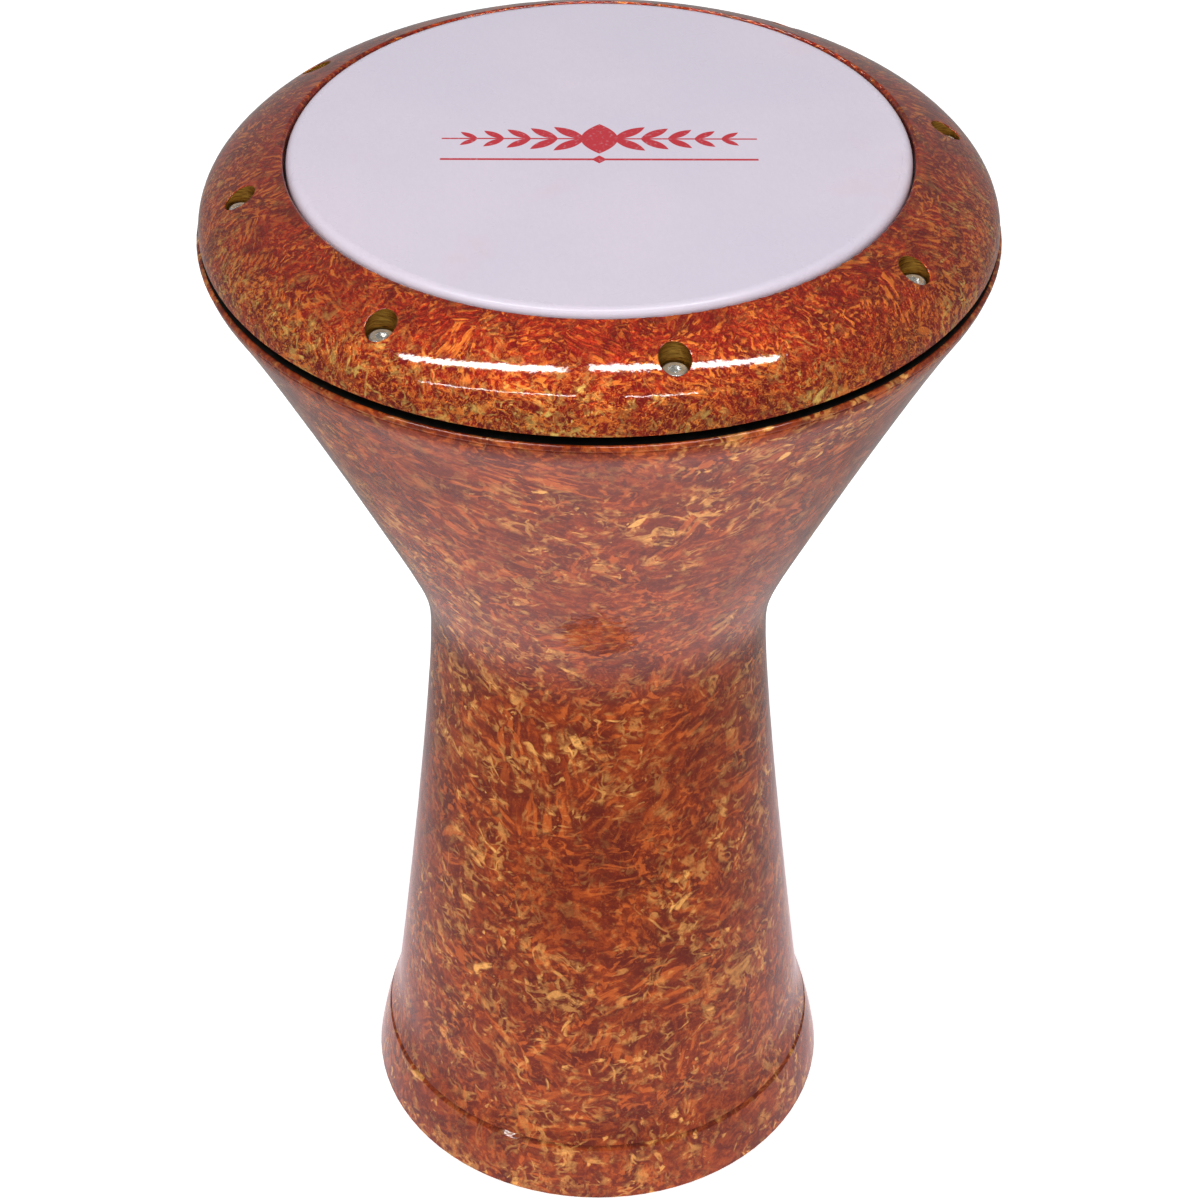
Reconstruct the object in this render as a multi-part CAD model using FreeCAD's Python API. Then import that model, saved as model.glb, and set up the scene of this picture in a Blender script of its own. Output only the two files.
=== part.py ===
import FreeCAD, Part
import math
import os

# A goblet drum (darbuka) with a cast aluminium shell, a screw-down tension ring
# and a clear-coated marbled finish. Millimetres. +Z runs up the drum's axis from
# the centre of the foot's resting plane, and the first tuning screw lies on +X.

# ---- shell
WALL = 4.0  # casting thickness, measured square to the surface
FOOT_R = 95.8  # outer radius of the foot at the resting plane
FOOT_EDGE = 1.2  # rounding of the foot's outer bottom edge
FOOT_BULGE = (93.7, 12.5)  # the foot band swells a little between its edge and the groove
BAND_R = 90.8  # outer radius of the foot band just under the groove
GROOVE_H = 25.2  # height of the turned groove above the foot
GROOVE_HALF = 1.3  # half the groove's height
GROOVE_DEPTH = 1.7
FLARE_MID = (87.1, 36.0)  # the flare is a slack arc between the groove and the body
FLARE_TOP = (85.4, 46.5)
MOUTH_R = 89.2  # inner radius of the open foot
MOUTH_EDGE = 1.0  # chamfer inside the open foot
MOUTH_WAIST = (87.0, 18.0)  # the mouth narrows straight to here, then curves to the wall
MOUTH_MID = (83.3, 33.0)
# (radius, height) stations up the outside of the body, through waist and bowl
BODY = [
    FLARE_TOP,
    (80.5, 86.5),
    (75.4, 130.5),
    (70.7, 174.5),
    (67.4, 210.5),
    (66.0, 233.0),
    (66.3, 246.5),
    (68.3, 257.5),
    (72.4, 269.5),
    (83.1, 293.5),
    (102.4, 334.5),
    (121.0, 372.5),
    (132.3, 394.5),
    (139.0, 406.5),
    (141.2, 410.6),
    (142.1, 413.2),
]
RIM_R = 142.7  # widest radius of the whole drum, at the bead round the bowl's rim
RIM_TOP = 416.1
RIM_WIDTH = 4.0
RIM_ROUND = 1.3  # the bead's top edge stands this far in from its widest radius
BEAD_LOW = 413.7  # a shallow turned line parts the bead from the bowl
BEAD_STEP = 0.9  # depth of that line
BEAD_MID = 1.1  # the bead is widest this far above the line
SHOULDER_TOP = 415.2  # ledge that the tuning screws enter
SHOULDER_T = 6.0
RIM_SLOPE = 1.0  # the rim falls to the shoulder over this radius
CORNER = 3.0  # slope inside, between the bowl and the shoulder
WALL_ROOT = 3.0  # rounding between the shoulder and the bearing wall
THROAT_R = 104.0  # clear radius inside the bearing edge
THROAT_EDGE = 1.0
BEARING_R = 109.0  # outer radius of the bearing wall
CROWN_TOP = 445.7  # the film lies on this edge
CROWN_R = 3.4

# ---- head
FILM_T = 0.3
FILM_TOP = CROWN_TOP + FILM_T
FILM_FLAT_R = 105.8  # the flat playing surface ends and turns down here
COLLAR_R = 109.3  # inner radius of the upright collar
COLLAR_BEND = 1.6
TAIL_R = 115.4  # the collar's tail reaches this far into the hoop
TAIL_H = 430.7
HOOP_IN, HOOP_OUT = 111.0, 116.8
HOOP_LOW, HOOP_HIGH = 427.0, 434.4
HOOP_T = 1.0
RESIN_BACK = 0.1  # the resin's face stands this far behind the collar's bend

# ---- tension ring
# (radius, height) stations down the outside of the ring
RING_CURVE = [
    (111.8, 444.5),
    (118.3, 442.0),
    (125.7, 438.5),
    (132.1, 434.5),
    (136.9, 430.3),
    (140.1, 426.0),
    (141.5, 421.9),
    (141.7, 419.8),
]
RING_T = 4.0
RING_IN = 110.5  # inner radius of the ring's lip
LIP_H = 443.2  # the lip is upright up to here, then rounds into the dome
LIP_MID = (110.85, 444.15)
RING_LOW = 419.2
RING_EDGE = 0.6  # rounding of the ring's lower outer edge
SKIRT_IN, SKIRT_OUT = 117.2, 120.2  # inner skirt that locates the hoop
SKIRT_LOW = 427.6

# ---- tuning screws, M5 socket head cap
SCREWS = 8
SCREW_PCR = 126.2  # pitch circle radius
HEAD_R, HEAD_H = 4.25, 5.0
HEAD_CHAMFER = 0.5
HEX_FLATS, HEX_DEPTH = 4.0, 2.6
HEX_POINT = 1.0  # drill point under the hexagon
SHANK_R, SHANK_L = 2.5, 25.0
PLAIN_L = 7.0  # unthreaded length under the head
PITCH = 0.8
THREAD_DEPTH = 0.43
POINT_L, POINT_EDGE = 1.0, 0.3  # unthreaded tip and its chamfer
WASHER_OUT, WASHER_IN, WASHER_T = 5.0, 2.7, 1.0
POCKET_R = 5.3  # counterbore in the ring
POCKET_FLOOR = 427.8
POCKET_EDGE = 0.35  # rounding of the counterbore's mouth
CLEAR_R = 2.75
BOSS_R = 7.0
BOSS_LOW = 421.8
LUG_R = 6.5  # threaded lugs under the shoulder
LUG_L = 10.0
TAP_R = 2.56
TAP_RUNOUT = 0.5  # the tapped hole runs on this far below its lug

CLEAR = 1.0  # how far a cutting tool runs past the face that it leaves
CEILING_STATIONS = 24  # points taken along the dome to draw its underside


def at(r, h):
    """Point in the half plane that is turned about Z."""
    return FreeCAD.Vector(r, 0, h)


def line(*points):
    """Edges of straight runs through (radius, height) points."""
    v = [at(*p) for p in points]
    return [Part.makeLine(a, b) for a, b in zip(v, v[1:])]


def arc(a, b, c):
    """Edge of a circular arc through three (radius, height) points."""
    return [Part.Arc(at(*a), at(*b), at(*c)).toShape()]


def curve(points):
    """Smooth interpolated curve through (radius, height) points."""
    spline = Part.BSplineCurve()
    spline.interpolate([at(*p) for p in points])
    return spline


def quarter(centre, radius, start_deg, end_deg):
    """Arc about a (radius, height) centre between two angles from +r."""
    angles = (start_deg, (start_deg + end_deg) / 2, end_deg)
    return arc(*[
        (
            centre[0] + radius * math.cos(math.radians(a)),
            centre[1] + radius * math.sin(math.radians(a)),
        )
        for a in angles
    ])


def lathe(edges):
    """Solid of revolution about Z from a closed chain of edges."""
    wire = Part.Wire(Part.__sortEdges__(edges))
    return Part.Face(wire).revolve(FreeCAD.Vector(0, 0, 0), FreeCAD.Vector(0, 0, 1), 360)


def inset(spline, distance, stations):
    """Points at a distance inside a curve, on the side of the Z axis."""
    first, last = spline.FirstParameter, spline.LastParameter
    points = []
    for k in range(stations):
        u = first + (last - first) * k / (stations - 1)
        p, t = spline.value(u), spline.tangent(u)[0]
        n = FreeCAD.Vector(-t.z, 0, t.x)
        if n.x > 0:
            n = n.negative()
        points.append((p.x + n.x * distance, p.z + n.z * distance))
    return points


def around(solid, count=SCREWS):
    """The same solid at each screw position."""
    return [spun(solid, k) for k in range(count)]


def spun(solid, k):
    """A copy of the solid turned to screw position k."""
    copy = solid.copy()
    copy.rotate(FreeCAD.Vector(0, 0, 0), FreeCAD.Vector(0, 0, 1), 360.0 * k / SCREWS)
    return copy


def post(radius, low, high, r=SCREW_PCR):
    """Upright cylinder on the +X axis between two heights."""
    return Part.makeCylinder(radius, high - low, at(r, low))


def shell():
    """Foot, body, bowl, shoulder and bearing wall in one casting, with its lugs."""
    body = curve(BODY)
    under_shoulder = SHOULDER_TOP - SHOULDER_T
    corner = under_shoulder - CORNER
    inner = [p for p in inset(body, WALL, 2 * len(BODY)) if p[1] < corner]
    solid = lathe(shell_outside(body) + shell_top() + shell_inside(inner, under_shoulder))

    middle = inset(body, WALL / 2, 2 * len(BODY))
    core = [curve(middle).toShape()]
    core += line(middle[-1], (0, middle[-1][1]), (0, middle[0][1]), middle[0])
    lug = post(LUG_R, under_shoulder - LUG_L, middle[-1][1]).common(lathe(core))
    tap = post(TAP_R, under_shoulder - LUG_L - TAP_RUNOUT, SHOULDER_TOP + CLEAR)
    return solid.fuse(around(lug)).cut(around(tap)).removeSplitter()


def shell_outside(body):
    """Edges from the resting plane up to the top of the rim."""
    groove_low = (BAND_R, GROOVE_H - GROOVE_HALF)
    groove_top = (BAND_R - 0.7, GROOVE_H + GROOVE_HALF)
    groove = (BAND_R - GROOVE_DEPTH, GROOVE_H)
    bead = (RIM_R - BEAD_STEP, BEAD_LOW)
    edges = line((MOUTH_R + MOUTH_EDGE, 0), (FOOT_R - FOOT_EDGE, 0))
    edges += quarter((FOOT_R - FOOT_EDGE, FOOT_EDGE), FOOT_EDGE, -90, 0)
    edges += arc((FOOT_R, FOOT_EDGE), FOOT_BULGE, groove_low)
    edges += line(groove_low, groove, groove_top)
    edges += arc(groove_top, FLARE_MID, FLARE_TOP)
    edges += [body.toShape()]
    edges += line(BODY[-1], bead)
    edges += arc(bead, (RIM_R, BEAD_LOW + BEAD_MID), (RIM_R - RIM_ROUND, RIM_TOP))
    return edges


def shell_top():
    """Edges over the rim and shoulder, up the bearing wall and over its crown."""
    rim_in = RIM_R - RIM_ROUND - RIM_WIDTH
    root = (BEARING_R + WALL_ROOT, SHOULDER_TOP + WALL_ROOT)
    crown = (BEARING_R - CROWN_R, CROWN_TOP - CROWN_R)
    edges = line(
        (RIM_R - RIM_ROUND, RIM_TOP),
        (rim_in, RIM_TOP),
        (rim_in - RIM_SLOPE, SHOULDER_TOP),
        (root[0], SHOULDER_TOP),
    )
    edges += quarter(root, WALL_ROOT, 270, 180)
    edges += line((BEARING_R, root[1]), (BEARING_R, crown[1]))
    edges += quarter(crown, CROWN_R, 0, 90)
    edges += line((crown[0], CROWN_TOP), (THROAT_R + THROAT_EDGE, CROWN_TOP))
    edges += quarter((THROAT_R + THROAT_EDGE, CROWN_TOP - THROAT_EDGE), THROAT_EDGE, 90, 180)
    return edges


def shell_inside(inner, under_shoulder):
    """Edges down the throat, under the shoulder and down the wall to the open foot."""
    edges = line(
        (THROAT_R, CROWN_TOP - THROAT_EDGE),
        (THROAT_R, under_shoulder),
        (inner[-1][0] - CORNER, under_shoulder),
        inner[-1],
    )
    edges += [curve(inner).toShape()]
    edges += arc(inner[0], MOUTH_MID, MOUTH_WAIST)
    edges += line(MOUTH_WAIST, (MOUTH_R, MOUTH_EDGE), (MOUTH_R + MOUTH_EDGE, 0))
    return edges


def tension_ring():
    """Domed ring over the head's hoop, hollow underneath, with a boss per screw."""
    dome = curve(RING_CURVE)
    ceiling = under_dome(dome)
    start, low = RING_CURVE[0], RING_CURVE[-1]
    foot = (low[0] - RING_EDGE, RING_LOW)
    edges = [dome.toShape()]
    edges += arc((RING_IN, LIP_H), LIP_MID, start)
    edges += line(
        (RING_IN, LIP_H),
        (RING_IN, HOOP_HIGH),
        (SKIRT_IN, HOOP_HIGH),
        (SKIRT_IN, SKIRT_LOW),
        (SKIRT_OUT, SKIRT_LOW),
        ceiling[0],
    )
    edges += [curve(ceiling).toShape()]
    edges += line(ceiling[-1], (ceiling[-1][0], RING_LOW), foot)
    edges += quarter((foot[0], low[1]), RING_EDGE, 270, 360)
    solid = lathe(edges)

    under_skin = lathe([dome.toShape()] + line(low, (0, low[1]), (0, start[1]), start))
    boss = post(BOSS_R, BOSS_LOW, start[1]).common(under_skin)
    pocket = post(POCKET_R, POCKET_FLOOR, FILM_TOP)
    clearance = post(CLEAR_R, BOSS_LOW - CLEAR, FILM_TOP)
    solid = solid.fuse(around(boss)).cut(around(pocket)).cut(around(clearance))
    return softened_mouths(solid.removeSplitter())


def under_dome(dome):
    """Points of the ceiling under the dome, from the skirt out to its lower edge."""
    points = inset(dome, RING_T, CEILING_STATIONS)
    return [p for p in points if p[0] > SKIRT_OUT]


def softened_mouths(ring):
    """Rounds the edge where each counterbore breaks the dome."""
    mouths = []
    for edge in ring.Edges:
        middle, box = edge.CenterOfMass, edge.BoundBox
        near_pitch_circle = abs(math.hypot(middle.x, middle.y) - SCREW_PCR) < CLEAR * 2
        above_floor = box.ZMin > POCKET_FLOOR + CLEAR * 2
        slanted = box.ZLength > CLEAR and box.DiagonalLength < 6 * POCKET_R
        straight = type(edge.Curve) is Part.Line
        if near_pitch_circle and above_floor and slanted and not straight:
            mouths.append(edge)
    return ring.makeFillet(POCKET_EDGE, mouths)


def head_film():
    """Polyester head: the playing surface, with its edge rolled down over the crown."""
    roll = COLLAR_R - FILM_FLAT_R
    centre = (FILM_FLAT_R, CROWN_TOP - roll)
    edges = line(
        (FILM_FLAT_R, CROWN_TOP),
        (0, CROWN_TOP),
        (0, FILM_TOP),
        (FILM_FLAT_R, FILM_TOP),
    )
    edges += quarter(centre, roll + FILM_T, 90, 0)
    edges += line((COLLAR_R + FILM_T, centre[1]), (COLLAR_R, centre[1]))
    edges += quarter(centre, roll, 0, 90)
    return lathe(edges)


def head_collar():
    """The head's stretching collar, from the rolled edge down and out into the hoop."""
    top = CROWN_TOP - COLLAR_R + FILM_FLAT_R
    bend = (COLLAR_R + FILM_T + COLLAR_BEND, TAIL_H + FILM_T + COLLAR_BEND)
    edges = line((COLLAR_R + FILM_T, top), (COLLAR_R, top), (COLLAR_R, bend[1]))
    edges += quarter(bend, COLLAR_BEND + FILM_T, 180, 270)
    edges += line(
        (bend[0], TAIL_H),
        (TAIL_R, TAIL_H),
        (TAIL_R, TAIL_H + FILM_T),
        (bend[0], TAIL_H + FILM_T),
    )
    edges += quarter(bend, COLLAR_BEND, 270, 180)
    edges += line((COLLAR_R + FILM_T, bend[1]), (COLLAR_R + FILM_T, top))
    return lathe(edges)


def head_hoop():
    """Aluminium channel, open inwards, that grips the collar's tail."""
    inside = HOOP_OUT - HOOP_T
    return lathe(
        line(
            (HOOP_IN, HOOP_LOW),
            (HOOP_OUT, HOOP_LOW),
            (HOOP_OUT, HOOP_HIGH),
            (HOOP_IN, HOOP_HIGH),
            (HOOP_IN, HOOP_HIGH - HOOP_T),
            (inside, HOOP_HIGH - HOOP_T),
            (inside, HOOP_LOW + HOOP_T),
            (HOOP_IN, HOOP_LOW + HOOP_T),
            (HOOP_IN, HOOP_LOW),
        )
    )


def hoop_resin():
    """Casting resin that fills the channel around the tail."""
    inside = HOOP_OUT - HOOP_T
    low, high = HOOP_LOW + HOOP_T, HOOP_HIGH - HOOP_T
    mouth = COLLAR_R + FILM_T + COLLAR_BEND + RESIN_BACK
    return lathe(
        line(
            (mouth, low),
            (inside, low),
            (inside, high),
            (mouth, high),
            (mouth, TAIL_H + FILM_T),
            (TAIL_R, TAIL_H + FILM_T),
            (TAIL_R, TAIL_H),
            (mouth, TAIL_H),
            (mouth, low),
        )
    )


def washer():
    """Plain washer on the counterbore's floor, at the first screw."""
    top = POCKET_FLOOR + WASHER_T
    disc = post(WASHER_OUT, POCKET_FLOOR, top)
    return disc.cut(post(WASHER_IN, POCKET_FLOOR - CLEAR, top + CLEAR))


def tuning_screw():
    """Socket head cap screw standing on its washer, at the first position."""
    seat = POCKET_FLOOR + WASHER_T
    top, tip = seat + HEAD_H, seat - SHANK_L
    thread_top = seat - PLAIN_L
    root = SHANK_R - THREAD_DEPTH
    outline = [
        (0, top),
        (HEAD_R - HEAD_CHAMFER, top),
        (HEAD_R, top - HEAD_CHAMFER),
        (HEAD_R, seat),
        (SHANK_R, seat),
        (SHANK_R, thread_top),
    ]
    turns = int((thread_top - tip - POINT_L) / PITCH)
    for k in range(turns):
        crest = thread_top - k * PITCH
        outline += [(root, crest - PITCH / 2), (SHANK_R, crest - PITCH)]
    outline += [(root, tip + POINT_EDGE), (root - POINT_EDGE, tip), (0, tip), (0, top)]
    screw = lathe(line(*outline)).cut(hex_socket(top))
    screw.translate(at(SCREW_PCR, 0))
    return screw


def hex_socket(top):
    """Hexagonal recess with its drill point, sunk from a height on the Z axis."""
    floor = top - HEX_DEPTH
    across = HEX_FLATS / 2 / math.cos(math.radians(30))
    corners = []
    for k in range(7):
        turn = math.radians(60 * k)
        corners.append(FreeCAD.Vector(across * math.cos(turn), across * math.sin(turn), floor))
    hexagon = Part.Face(Part.makePolygon(corners))
    socket = hexagon.extrude(at(0, HEX_DEPTH + CLEAR))
    drill = Part.makeCone(HEX_FLATS / 2, 0.0, HEX_POINT, at(0, floor), at(0, -1))
    return socket.fuse(drill)


def save(name, solid):
    """Writes one node, and prints a line to check it by."""
    if not solid.isValid() or len(solid.Solids) != 1:
        raise ValueError(f"{name} is not one valid solid")
    solid.Solids[0].exportStep(os.path.join("parts", name + ".step"))
    box = solid.optimalBoundingBox(True, False)
    print(f"{name:18s} {solid.Volume / 1000:9.2f} cm3  z {box.ZMin:7.2f} to {box.ZMax:7.2f}")


def main():
    os.makedirs("parts", exist_ok=True)
    save("shell", shell())
    save("tension_ring", tension_ring())
    save("head_film", head_film())
    save("head_collar", head_collar())
    save("head_hoop", head_hoop())
    save("hoop_resin", hoop_resin())
    first_washer, first_screw = washer(), tuning_screw()
    for k in range(SCREWS):
        save(f"washer_{k + 1}", spun(first_washer, k))
        save(f"tuning_screw_{k + 1}", spun(first_screw, k))


main()
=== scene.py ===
import math

import bmesh
import bpy
from mathutils import Matrix, Vector

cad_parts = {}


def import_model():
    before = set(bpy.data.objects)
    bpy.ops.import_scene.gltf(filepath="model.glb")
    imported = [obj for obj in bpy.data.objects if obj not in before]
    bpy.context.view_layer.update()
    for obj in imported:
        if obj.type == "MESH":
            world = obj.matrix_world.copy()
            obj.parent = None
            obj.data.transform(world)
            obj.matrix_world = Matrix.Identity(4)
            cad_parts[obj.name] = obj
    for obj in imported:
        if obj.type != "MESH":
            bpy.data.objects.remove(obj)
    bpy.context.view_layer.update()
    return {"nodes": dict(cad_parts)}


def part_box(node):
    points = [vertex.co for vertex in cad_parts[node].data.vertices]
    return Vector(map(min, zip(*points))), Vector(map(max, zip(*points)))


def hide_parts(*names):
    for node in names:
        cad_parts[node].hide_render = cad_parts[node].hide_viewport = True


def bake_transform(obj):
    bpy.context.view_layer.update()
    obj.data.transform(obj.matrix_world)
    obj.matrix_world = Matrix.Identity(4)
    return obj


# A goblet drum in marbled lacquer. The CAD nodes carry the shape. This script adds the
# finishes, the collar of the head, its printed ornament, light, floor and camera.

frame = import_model()
nodes = frame["nodes"]

SCREWS = 8
GLOW = 0.6  # how bright the table top looks in the gloss
VIEW_TURN = math.radians(-11.1)  # the camera stands this far round from -Y
RING_LOW, RING_TOP = (corner.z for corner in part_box("tension_ring"))
RING_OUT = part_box("tension_ring")[1].x
FILM_LOW, FILM_TOP = (corner.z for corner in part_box("head_film"))
FILM_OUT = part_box("head_film")[1].x
COLLAR_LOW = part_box("head_collar")[0].z
TAIL_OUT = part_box("head_collar")[1].x
RIM_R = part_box("shell")[1].x
RIM_TOP = 0.4161  # the rim's upper face
RIM_SHADE_INSET = 0.0026  # how far in from the rim's edge the lacquer ends and the black painted shade begins
BEARING_IN = 0.1085  # inside of the wall that the head bears on
SCREW_R = 0.1262  # from the drum's axis to each screw's
HOLE_R = 0.0075  # just wider than a counterbore
HOLE_OUT = 0.1315  # the ring's underside outside the bosses starts here
RING_LIP = 0.0012  # width of the lacquered edge under the ring, outside its black painted shade
FACE_DOWN = -0.3  # a face with its normal's z below this faces down
COLLAR_BEND = 0.0018
COLLAR_SEGMENTS = 192


# ------------------------------------------------------------------ node graphs
class Graph:
    """A material's node tree, with short ways to add and join nodes."""

    def __init__(self, name):
        self.material = bpy.data.materials.new(name)
        self.material.use_nodes = True
        self.tree = self.material.node_tree
        self.shader = self.tree.nodes["Principled BSDF"]
        self.place = self.add("ShaderNodeTexCoord").outputs["Object"]

    def add(self, kind, **settings):
        made = self.tree.nodes.new(kind)
        for key, value in settings.items():
            setattr(made, key, value)
        return made

    def put(self, socket, value):
        if isinstance(value, bpy.types.NodeSocket):
            self.tree.links.new(value, socket)
        elif value is not None:
            socket.default_value = value

    def maths(self, operation, a, b=None):
        made = self.add("ShaderNodeMath", operation=operation)
        self.put(made.inputs[0], a)
        self.put(made.inputs[1], b)
        return made.outputs[0]

    def times(self, *factors):
        product = factors[0]
        for factor in factors[1:]:
            product = self.maths("MULTIPLY", product, factor)
        return product

    def most(self, *masks):
        top = masks[0]
        for mask in masks[1:]:
            top = self.maths("MAXIMUM", top, mask)
        return top

    def vector(self, operation, a, b=None, scale=None):
        made = self.add("ShaderNodeVectorMath", operation=operation)
        self.put(made.inputs[0], a)
        self.put(made.inputs[1], b)
        scale_in = 3
        self.put(made.inputs[scale_in], scale)
        return made.outputs["Vector"]

    def noise(self, place, scale, detail=2.0, rough=0.5, distortion=0.0, colour=False):
        made = self.add("ShaderNodeTexNoise")
        self.put(made.inputs["Vector"], place)
        made.inputs["Scale"].default_value = scale
        made.inputs["Detail"].default_value = detail
        made.inputs["Roughness"].default_value = rough
        made.inputs["Distortion"].default_value = distortion
        return made.outputs["Color" if colour else "Fac"]

    def cells(self, place, scale):
        made = self.add("ShaderNodeTexVoronoi")
        self.put(made.inputs["Vector"], place)
        made.inputs["Scale"].default_value = scale
        return made

    def split(self, vector):
        made = self.add("ShaderNodeSeparateXYZ")
        self.put(made.inputs[0], vector)
        return made.outputs

    def ramp(self, value, low, high, out_low=0.0, out_high=1.0):
        """A smooth step from out_low to out_high as the value goes from low to high."""
        made = self.add("ShaderNodeMapRange", clamp=True, interpolation_type="SMOOTHSTEP")
        for socket, v in zip(made.inputs, (value, low, high, out_low, out_high)):
            self.put(socket, v)
        return made.outputs[0]

    def mix(self, factor, a, b):
        """Colour a where the factor is 0 and colour b where it is 1."""
        made = self.add("ShaderNodeMix", data_type="RGBA")
        factor_in, a_in, b_in, colour_out = 0, 6, 7, 2
        self.put(made.inputs[factor_in], factor)
        self.put(made.inputs[a_in], a)
        self.put(made.inputs[b_in], b)
        return made.outputs[colour_out]

    def bump(self, height, distance):
        made = self.add("ShaderNodeBump")
        made.inputs["Strength"].default_value = 1.0
        made.inputs["Distance"].default_value = distance
        self.put(made.inputs["Height"], height)
        return made.outputs[0]

    def warped(self, place, scale, amount):
        """Coordinates pushed about by noise."""
        push = self.vector("SUBTRACT", self.noise(place, scale, 2.0, colour=True), (0.5, 0.5, 0.5))
        return self.vector("ADD", place, self.vector("SCALE", push, scale=amount))

    def moved(self, place, offset):
        """The same coordinates somewhere else, so that two figures don't repeat each other."""
        return self.vector("ADD", place, (offset, -offset, 0.5 * offset))

    def finish(self, **sockets):
        """Sets the shader's sockets, named with _ for each space, and gives the material."""
        for name, value in sockets.items():
            self.put(self.shader.inputs[name.replace("_", " ")], value)
        return self.material


def rgb(r, g, b):
    """A colour given in screen values of 0 to 255, as the linear colour that nodes take."""
    def linear(v):
        v /= 255.0
        return v / 12.92 if v <= 0.04045 else ((v + 0.055) / 1.055) ** 2.4
    return (linear(r), linear(g), linear(b), 1.0)


# ------------------------------------------------------------------ lacquer
def combed(g, place, patch, stretch):
    """Coordinates stretched along a different direction in each patch of the surface."""
    bent = g.warped(place, patch * 2.2, 0.30 / patch)
    cell = g.cells(bent, patch)
    turn = g.vector("SCALE", cell.outputs["Color"], scale=2 * math.pi)
    spun = g.add("ShaderNodeVectorRotate", rotation_type="EULER_XYZ")
    g.put(spun.inputs["Vector"], g.warped(place, patch * 3.0, 0.12 / patch))
    g.put(spun.inputs["Rotation"], turn)
    return g.vector("MULTIPLY", spun.outputs[0], (1.0, 1.0, stretch))


def leaves(g, place, scale, share, radius, soft):
    """Scattered flecks with a soft edge: one in some of the cells of a grid."""
    cell = g.cells(g.warped(place, scale * 1.7, 0.5 / scale), scale)
    chosen = g.ramp(g.split(cell.outputs["Color"])[0], 1.0 - share, 1.0 - share + 0.02)
    spot = g.ramp(cell.outputs["Distance"], radius, radius + soft, 1.0, 0.0)
    return g.times(chosen, spot)


def curls(g, place, scale, width, reach, swirl):
    """Curling lines along a contour of noise, only where a second noise is high."""
    field = g.noise(place, scale, 1.0, 0.5, swirl)
    line = g.maths("ABSOLUTE", g.maths("SUBTRACT", field, 0.5))
    where = g.ramp(g.noise(g.moved(place, 3.7), scale * 0.7, 1.0), reach, reach + 0.14)
    return g.times(g.ramp(line, 0.35 * width, width, 1.0, 0.0), where)


def strokes(g, place, patch, scale, stretch, low, high):
    """Soft strokes that lie along a different direction in each patch of the surface."""
    return g.ramp(g.noise(combed(g, place, patch, stretch), scale, 2.0, 0.5, 0.4), low, high)


def lacquer(name, fine, metal, foil, leaf_scale, leaf, bare, dark, mid, light, gold):
    """Marbled lacquer under a clear coat: a mottled ground with combed strokes, curls and leaves.

    fine scales the whole figure down, metal and foil say how metallic and how crinkled it is,
    leaf_scale and leaf are the leaves' grid and share, and the gold thins out above bare.
    """
    g = Graph(name)
    height = g.split(g.warped(g.place, 18.0, 0.02))[2]
    rich = g.ramp(height, bare - 0.014, bare + 0.004, 1.15, 0.2)
    place = g.vector("SCALE", g.warped(g.place, 60.0, 0.006), scale=fine)
    clouds = g.noise(g.warped(place, 22.0, 0.03), 60.0, 6.0, 0.68, 0.6)
    ground = g.mix(g.ramp(clouds, 0.38, 0.62), dark, mid)
    crinkle = g.noise(place, 420.0, 4.0, 0.72, 1.2)
    ground = g.mix(g.times(g.ramp(crinkle, 0.50, 0.40), foil), ground, dark)
    ground = g.mix(g.times(g.ramp(crinkle, 0.50, 0.62), rich, foil), ground, light)

    threads = strokes(g, place, 34.0, 360.0, 0.15, 0.30, 0.70)
    patches = g.ramp(g.noise(g.moved(place, 1.3), 38.0, 3.0), 0.40, 0.60, 0.3, 1.0)
    ground = g.mix(g.times(g.ramp(threads, 0.45, 0.10), 0.5), ground, dark)
    ground = g.mix(g.times(g.ramp(threads, 0.60, 0.95), patches, 0.7), ground, light)

    small = strokes(g, g.moved(place, 0.7), 48.0, 300.0, 0.22, 0.60, 0.70)
    big = strokes(g, g.moved(place, 2.1), 26.0, 130.0, 0.22, 0.65, 0.71)
    spots = leaves(g, combed(g, g.moved(place, 3.1), 30.0, 0.40), leaf_scale, leaf, 0.12, 0.26)
    hair = curls(g, g.moved(place, 4.4), 58.0, 0.035, 0.48, 0.8)
    worms = curls(g, g.moved(place, 5.9), 130.0, 0.10, 0.42, 1.2)
    figure = g.most(
        g.times(small, 0.75),
        g.times(big, 0.9),
        g.times(spots, 0.85),
        g.times(hair, 0.6),
        g.times(worms, 0.4),
    )
    broken = g.ramp(g.noise(place, 150.0, 4.0, 0.65), 0.40, 0.60, 0.05, 1.0)
    regions = g.ramp(g.noise(g.moved(place, 7.7), 17.0, 2.0), 0.38, 0.56, 0.25, 1.0)
    figure = g.times(figure, broken, regions, rich)
    colour = g.mix(figure, ground, gold)
    grain = g.noise(place, 1400.0, 3.0, 0.6)
    colour = g.mix(g.ramp(grain, 0.35, 0.65, 0.0, 0.22), colour, dark)
    return g.finish(
        Base_Color=colour,
        Metallic=metal,
        Roughness=g.ramp(figure, 0.0, 1.0, 0.40, 0.32),
        Normal=g.bump(g.maths("ADD", crinkle, threads), 0.00008 + 0.00014 * foil),
        Coat_Weight=1.0,
        Coat_Roughness=0.05,
        Coat_IOR=1.5,
        Specular_IOR_Level=0.0,
        Coat_Normal=g.bump(g.noise(g.place, 320.0, 2.0), 0.00004),
    )


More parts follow.
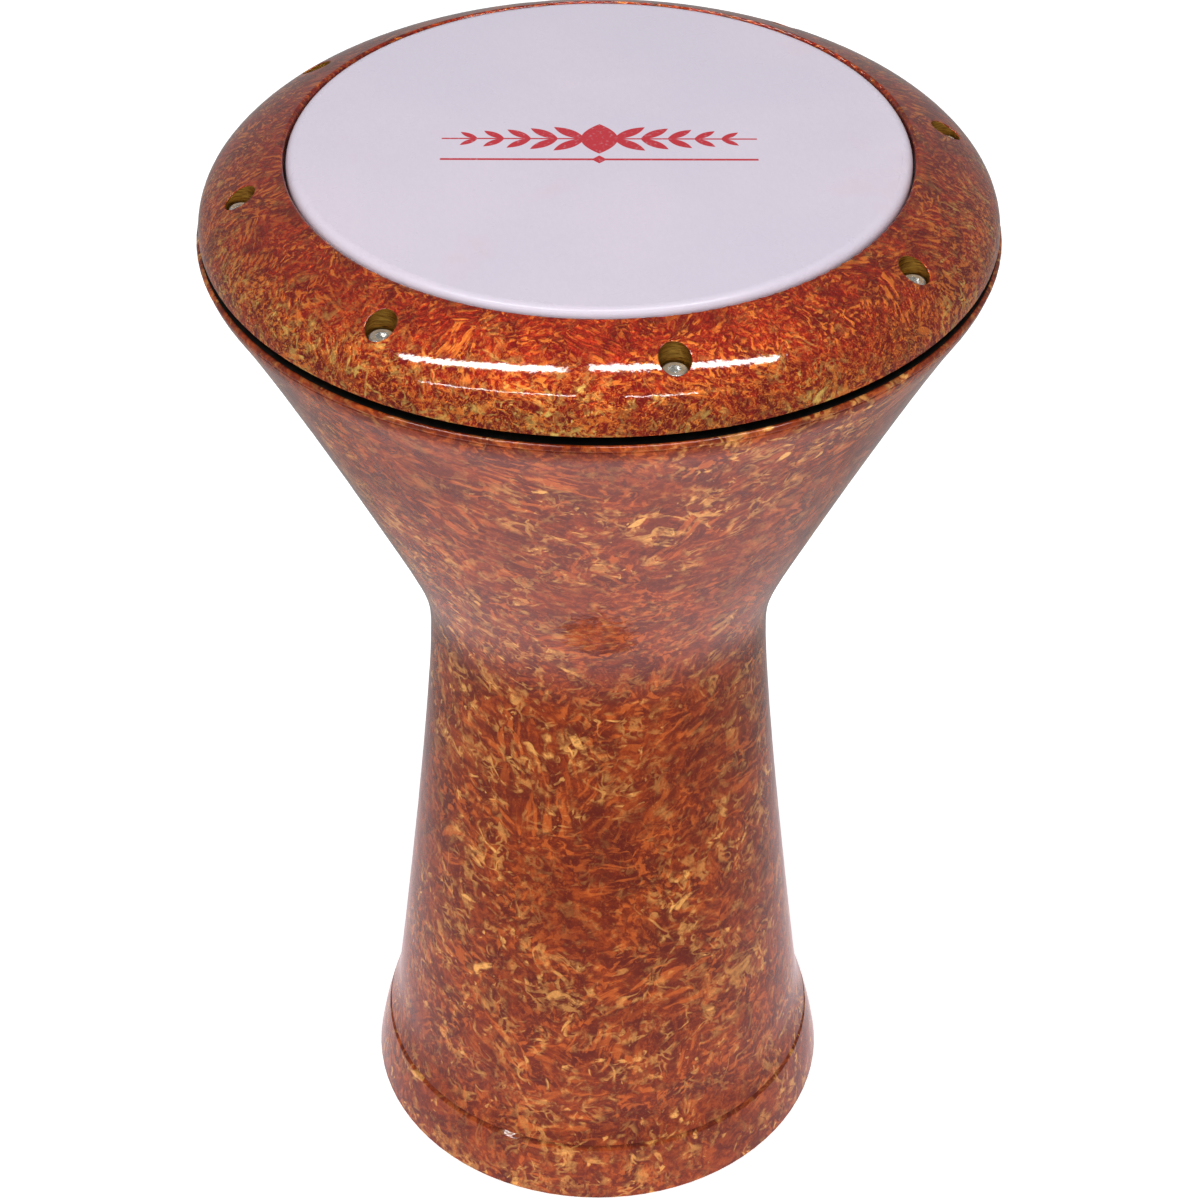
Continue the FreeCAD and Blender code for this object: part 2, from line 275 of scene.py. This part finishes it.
def bare_casting():
    """Grey sand-cast skin inside the shell."""
    g = Graph("bare_casting")
    sand = g.noise(g.place, 700.0, 4.0, 0.6)
    blotch = g.noise(g.place, 25.0, 3.0)
    return g.finish(
        Base_Color=g.mix(g.ramp(blotch, 0.3, 0.7), rgb(112, 110, 106), rgb(140, 138, 133)),
        Metallic=0.6,
        Roughness=g.ramp(sand, 0.3, 0.7, 0.45, 0.65),
        Normal=g.bump(sand, 0.0002),
    )


def painted_gap_shade():
    """Matt black painted shade where the ring and the rim face each other, standing in for the
    shadow in the gap between them.
    """
    g = Graph("painted_gap_shade")
    dust = g.noise(g.place, 300.0, 4.0, 0.6)
    return g.finish(
        Base_Color=g.mix(g.ramp(dust, 0.45, 0.75), rgb(14, 12, 11), rgb(34, 29, 26)),
        Roughness=g.ramp(dust, 0.3, 0.7, 0.7, 0.85),
        Specular_IOR_Level=0.2,
        Normal=g.bump(dust, 0.0001),
    )


# ------------------------------------------------------------------ the other finishes
CRIMSON = rgb(186, 26, 40)
MARK_HALF = 0.0555  # half the printed ornament's width
MARK_END = 0.0005  # how softly its lines end
RULE_DOWN = 0.0145  # from the stem to the ruled line below it


def petal(g, u, v, x, y, turn_deg, length, width):
    """Mask of one pointed leaf of the ornament, centred at x, y and turned about there."""
    turn = math.radians(turn_deg)
    du, dv = g.maths("SUBTRACT", u, x), g.maths("SUBTRACT", v, y)
    along = g.maths("ADD", g.times(du, math.cos(turn)), g.times(dv, math.sin(turn)))
    across = g.maths("SUBTRACT", g.times(dv, math.cos(turn)), g.times(du, math.sin(turn)))
    bulge = g.maths("SUBTRACT", 1.0, g.maths("POWER", g.times(along, 2.0 / length), 2.0))
    edge = g.maths("SUBTRACT", g.times(bulge, width / 2), g.maths("ABSOLUTE", across))
    return g.ramp(edge, -0.00012, 0.00012)


def ornament(g):
    """Mask of the print on the head: a lozenge between two runs of leaves, and a ruled line."""
    turned = g.add("ShaderNodeVectorRotate", rotation_type="Z_AXIS")
    g.put(turned.inputs["Vector"], g.place)
    turned.inputs["Angle"].default_value = -VIEW_TURN
    across, along, _ = g.split(turned.outputs[0])
    u = g.maths("ABSOLUTE", across)
    v = g.maths("SUBTRACT", along, 0.003)
    parts = [petal(g, u, v, 0.0, 0.0, 90.0, 0.021, 0.013)]
    for k in range(5):
        reach = 0.0105 + 0.0088 * k
        size = 1.0 - 0.11 * k
        for side in (1, -1):
            y = 0.0040 * size * side
            parts.append(petal(g, u, v, reach, y, 38.0 * side, 0.0140 * size, 0.0046 * size))
    ends = g.ramp(u, MARK_HALF - MARK_END, MARK_HALF, 1.0, 0.0)
    stem = g.times(g.ramp(g.maths("ABSOLUTE", v), 0.0003, 0.0006, 1.0, 0.0), ends)
    from_rule = g.maths("ABSOLUTE", g.maths("ADD", v, RULE_DOWN))
    rule = g.times(g.ramp(from_rule, 0.0005, 0.0008, 1.0, 0.0), ends)
    diamond = g.maths("ADD", u, from_rule)
    stop = g.ramp(diamond, 0.0026, 0.0029, 1.0, 0.0)
    return g.most(*parts, stem, rule, stop)


def film():
    """Milky polyester with its red print, a faint bloom, smudges and a few specks."""
    g = Graph("drum_film")
    cloud = g.noise(g.place, 14.0, 3.0)
    colour = g.mix(g.ramp(cloud, 0.3, 0.7), rgb(208, 200, 214), rgb(214, 204, 217))
    smudge = g.ramp(g.noise(g.moved(g.place, 0.3), 22.0, 3.0, 0.6), 0.60, 0.76, 0.0, 0.35)
    colour = g.mix(smudge, colour, rgb(212, 188, 198))
    weave = g.noise(g.vector("MULTIPLY", g.place, (1.0, 0.35, 1.0)), 900.0, 2.0)
    colour = g.mix(g.ramp(weave, 0.3, 0.7, 0.0, 0.10), colour, rgb(190, 180, 198))
    cell = g.cells(g.moved(g.place, 0.9), 60.0)
    chosen = g.ramp(g.split(cell.outputs["Color"])[0], 0.95, 0.96)
    speck = g.times(chosen, g.ramp(cell.outputs["Distance"], 0.012, 0.024, 0.8, 0.0))
    colour = g.mix(speck, colour, rgb(80, 60, 70))
    worn = g.ramp(g.noise(g.place, 700.0, 2.0), 0.25, 0.45, 0.75, 0.97)
    colour = g.mix(g.times(ornament(g), worn), colour, CRIMSON)
    return g.finish(
        Base_Color=colour,
        Roughness=g.ramp(g.noise(g.place, 60.0, 3.0), 0.3, 0.7, 0.26, 0.34),
        IOR=1.45,
        Normal=g.bump(g.noise(g.place, 1500.0, 2.0), 0.00001),
    )


def steel():
    """Bright zinc-plated steel of the screws."""
    g = Graph("screw_steel")
    scratch = g.noise(g.vector("MULTIPLY", g.place, (1.0, 1.0, 12.0)), 500.0, 3.0)
    return g.finish(
        Base_Color=g.mix(g.ramp(scratch, 0.3, 0.7), rgb(206, 205, 202), rgb(232, 231, 228)),
        Metallic=0.75,
        Roughness=g.ramp(scratch, 0.3, 0.7, 0.16, 0.3),
    )


def plain_metal(name, dark, light, rough):
    """Turned metal with a faint lathe grain."""
    g = Graph(name)
    brush = g.noise(g.vector("MULTIPLY", g.place, (1.0, 1.0, 30.0)), 300.0, 3.0)
    return g.finish(
        Base_Color=g.mix(g.ramp(brush, 0.3, 0.7), dark, light),
        Metallic=1.0,
        Roughness=g.ramp(brush, 0.3, 0.7, rough, rough + 0.12),
    )


def resin():
    """Cast resin in the hoop's channel."""
    g = Graph("resin")
    cloud = g.noise(g.place, 120.0, 3.0)
    return g.finish(
        Base_Color=g.mix(g.ramp(cloud, 0.3, 0.7), rgb(176, 160, 120), rgb(200, 186, 148)),
        Roughness=0.5,
    )


# ------------------------------------------------------------------ pieces
def paint(name, materials, choose=None):
    """Gives a CAD node its materials; choose picks one for each face by its middle and normal."""
    mesh = nodes[name].data
    mesh.materials.clear()
    for material in materials:
        mesh.materials.append(material)
    for face in mesh.polygons:
        face.material_index = choose(face.center, face.normal) if choose else 0


def shell_face(middle, normal):
    """0 for lacquer outside, 1 for the bare inside, 2 for black painted shade between rim and
    head, standing in for the gap's shadow.
    """
    outward = normal.x * middle.x + normal.y * middle.y
    radius = math.hypot(middle.x, middle.y)
    if middle.z > RIM_TOP - 0.001 and radius > BEARING_IN:
        return 2 if radius < RIM_R - RIM_SHADE_INSET else 0
    return 1 if outward < -1e-4 or middle.z > RIM_TOP else 0


def ring_face(middle, normal):
    """0 for the lacquered dome, 1 for the underside in black painted shade, 2 for the walls of the
    screw holes.
    """
    radius = math.hypot(middle.x, middle.y)
    step = 2 * math.pi / SCREWS
    turn = step * round(math.atan2(middle.y, middle.x) / step)
    beside = math.hypot(middle.x - SCREW_R * math.cos(turn), middle.y - SCREW_R * math.sin(turn))
    if beside < HOLE_R and abs(normal.z) < -FACE_DOWN:
        return 2
    halfway = (RING_LOW + RING_TOP) / 2
    inward = normal.x * middle.x + normal.y * middle.y < 0
    skirt = radius > HOLE_OUT and inward and middle.z < halfway
    under = normal.z < FACE_DOWN and radius < RING_OUT - RING_LIP
    return 1 if skirt or under else 0


def collar_mesh():
    """The head's collar as a thin turned strip, from the film's edge to the hoop."""
    wall = FILM_OUT - 0.00015
    outline = [(wall, FILM_LOW), (wall, COLLAR_LOW + COLLAR_BEND + 0.003)]
    steps = 6
    for k in range(steps + 1):
        turn = math.pi / 2 * k / steps
        out = wall + COLLAR_BEND * (1 - math.cos(turn))
        outline.append((out, COLLAR_LOW + COLLAR_BEND * (1 - math.sin(turn))))
    outline.append((TAIL_OUT - 0.0002, COLLAR_LOW))
    mesh = bmesh.new()
    rings = []
    for r, z in outline:
        ring = []
        for k in range(COLLAR_SEGMENTS):
            turn = 2 * math.pi * k / COLLAR_SEGMENTS
            ring.append(mesh.verts.new((r * math.cos(turn), r * math.sin(turn), z)))
        rings.append(ring)
    for upper, lower in zip(rings, rings[1:]):
        for k in range(COLLAR_SEGMENTS):
            following = (k + 1) % COLLAR_SEGMENTS
            mesh.faces.new((upper[k], lower[k], lower[following], upper[following]))
    made = bpy.data.meshes.new("collar")
    mesh.to_mesh(made)
    mesh.free()
    for face in made.polygons:
        face.use_smooth = True
    collar = bpy.data.objects.new("collar", made)
    bpy.context.collection.objects.link(collar)
    return collar


# ------------------------------------------------------------------ stage, light, camera
def turned(x, y, z):
    """A point given as seen from the camera's side, in the row frame."""
    return Matrix.Rotation(VIEW_TURN, 3, "Z") @ Vector((x, y, z))


def area_light(name, place, height, size, strength):
    """A lamp with its long side level, tipped towards the drum's axis at a height."""
    light = bpy.data.lights.new(name, "AREA")
    light.shape = "RECTANGLE"
    light.size, light.size_y = size
    light.energy = strength
    lamp = bpy.data.objects.new(name, light)
    lamp.location = turned(*place)
    facing = turned(place[0], 0, height) - lamp.location
    lamp.rotation_euler = facing.to_track_quat("-Z", "Y").to_euler()
    bpy.context.collection.objects.link(lamp)
    return lamp


def table_glow():
    """The white table top round the foot, fading outwards, seen only in the lacquer's gloss."""
    steps = 8
    for k in range(steps):
        light = bpy.data.lights.new(f"table_glow_{k}", "AREA")
        light.shape = "DISK"
        light.size = 2 * (0.10 + 0.028 * k)
        light.energy = GLOW / steps * (math.pi * light.size / 2) ** 2
        light.color = (1.0, 0.72, 0.76)
        lamp = bpy.data.objects.new(light.name, light)
        lamp.location = (0, 0, 0.001 + 0.0001 * k)
        lamp.rotation_euler = (math.pi, 0, 0)
        lamp.visible_camera = False
        lamp.visible_diffuse = False
        bpy.context.collection.objects.link(lamp)


def floor():
    """A plain pale floor that the camera sees and the lacquer's gloss doesn't."""
    bpy.ops.mesh.primitive_plane_add(size=14.0)
    ground = bpy.context.object
    ground.name = "floor"
    g = Graph("pale_floor")
    g.finish(Base_Color=rgb(250, 250, 250), Roughness=0.6)
    g.shader.inputs["Emission Color"].default_value = (1.0, 1.0, 1.0, 1.0)
    g.shader.inputs["Emission Strength"].default_value = 0.62
    ground.data.materials.append(g.material)
    ground.visible_glossy = False


def world():
    made = bpy.data.worlds.new("studio")
    made.use_nodes = True
    made.node_tree.nodes["Background"].inputs["Color"].default_value = (1.0, 1.0, 1.0, 1.0)
    made.node_tree.nodes["Background"].inputs["Strength"].default_value = 0.30
    bpy.context.scene.world = made


def camera():
    eye = bpy.data.cameras.new("camera")
    eye.sensor_width = 36.0
    eye.lens = 87.9
    view = bpy.data.objects.new("camera", eye)
    view.location = turned(0.0006, -0.905, 0.9525)
    turn = Matrix.Rotation(VIEW_TURN, 3, "Z") @ Matrix.Rotation(math.radians(90.0 - 38.10), 3, "X")
    view.rotation_euler = (turn @ Matrix.Rotation(math.radians(0.13), 3, "Z")).to_euler()
    bpy.context.collection.objects.link(view)
    bpy.context.scene.camera = view


# ------------------------------------------------------------------ assembly
SHELL_LACQUER = lacquer(
    "shell_lacquer", fine=1.0, metal=0.20, foil=0.25, leaf_scale=150.0, leaf=0.15, bare=1.0,
    dark=rgb(98, 24, 5), mid=rgb(152, 56, 13), light=rgb(214, 103, 38), gold=rgb(255, 184, 98),
)
RING_LACQUER = lacquer(
    "ring_lacquer", fine=1.8, metal=0.62, foil=0.8, leaf_scale=70.0, leaf=0.22, bare=0.4385,
    dark=rgb(114, 10, 4), mid=rgb(186, 46, 14), light=rgb(255, 142, 52), gold=rgb(255, 210, 108),
)
FILM = film()
BARE = bare_casting()
# Black painted shade, standing in for the shadow in the gap between the ring and the rim.
GAP_SHADE_BLACK = painted_gap_shade()
paint("shell", [SHELL_LACQUER, BARE, GAP_SHADE_BLACK], shell_face)
HOLES = plain_metal("hole_lacquer", rgb(120, 62, 20), rgb(236, 190, 88), 0.35)
paint("tension_ring", [RING_LACQUER, GAP_SHADE_BLACK, HOLES], ring_face)
paint("head_film", [FILM])
paint("head_collar", [FILM])
paint("head_hoop", [plain_metal("hoop_metal", rgb(150, 152, 155), rgb(185, 187, 190), 0.3)])
paint("hoop_resin", [resin()])
STEEL = steel()
WASHER = plain_metal("washer_steel", rgb(140, 140, 140), rgb(170, 170, 168), 0.35)
for k in range(1, SCREWS + 1):
    paint(f"tuning_screw_{k}", [STEEL])
    paint(f"washer_{k}", [WASHER])

collar = collar_mesh()
collar.data.materials.append(FILM)
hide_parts("head_collar")
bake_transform(collar)

floor()
world()
camera()
table_glow()
fill = area_light("fill", (0.0, -1.7, 0.75), 0.2, (1.6, 0.9), 12.0)
fill.visible_glossy = False
area_light("strip_left", (-0.63, -0.32, 1.9), 0.44, (0.975, 0.12), 9.5)
area_light("strip_right", (0.455, -0.28, 1.9), 0.44, (0.97, 0.12), 9.5)
area_light("front_left", (-0.81, -1.05, 1.9), 0.3, (1.31, 0.03), 3.1)
area_light("front_right", (0.43, -1.09, 1.9), 0.3, (0.53, 0.03), 1.25)
bpy.context.scene.view_settings.view_transform = "Standard"
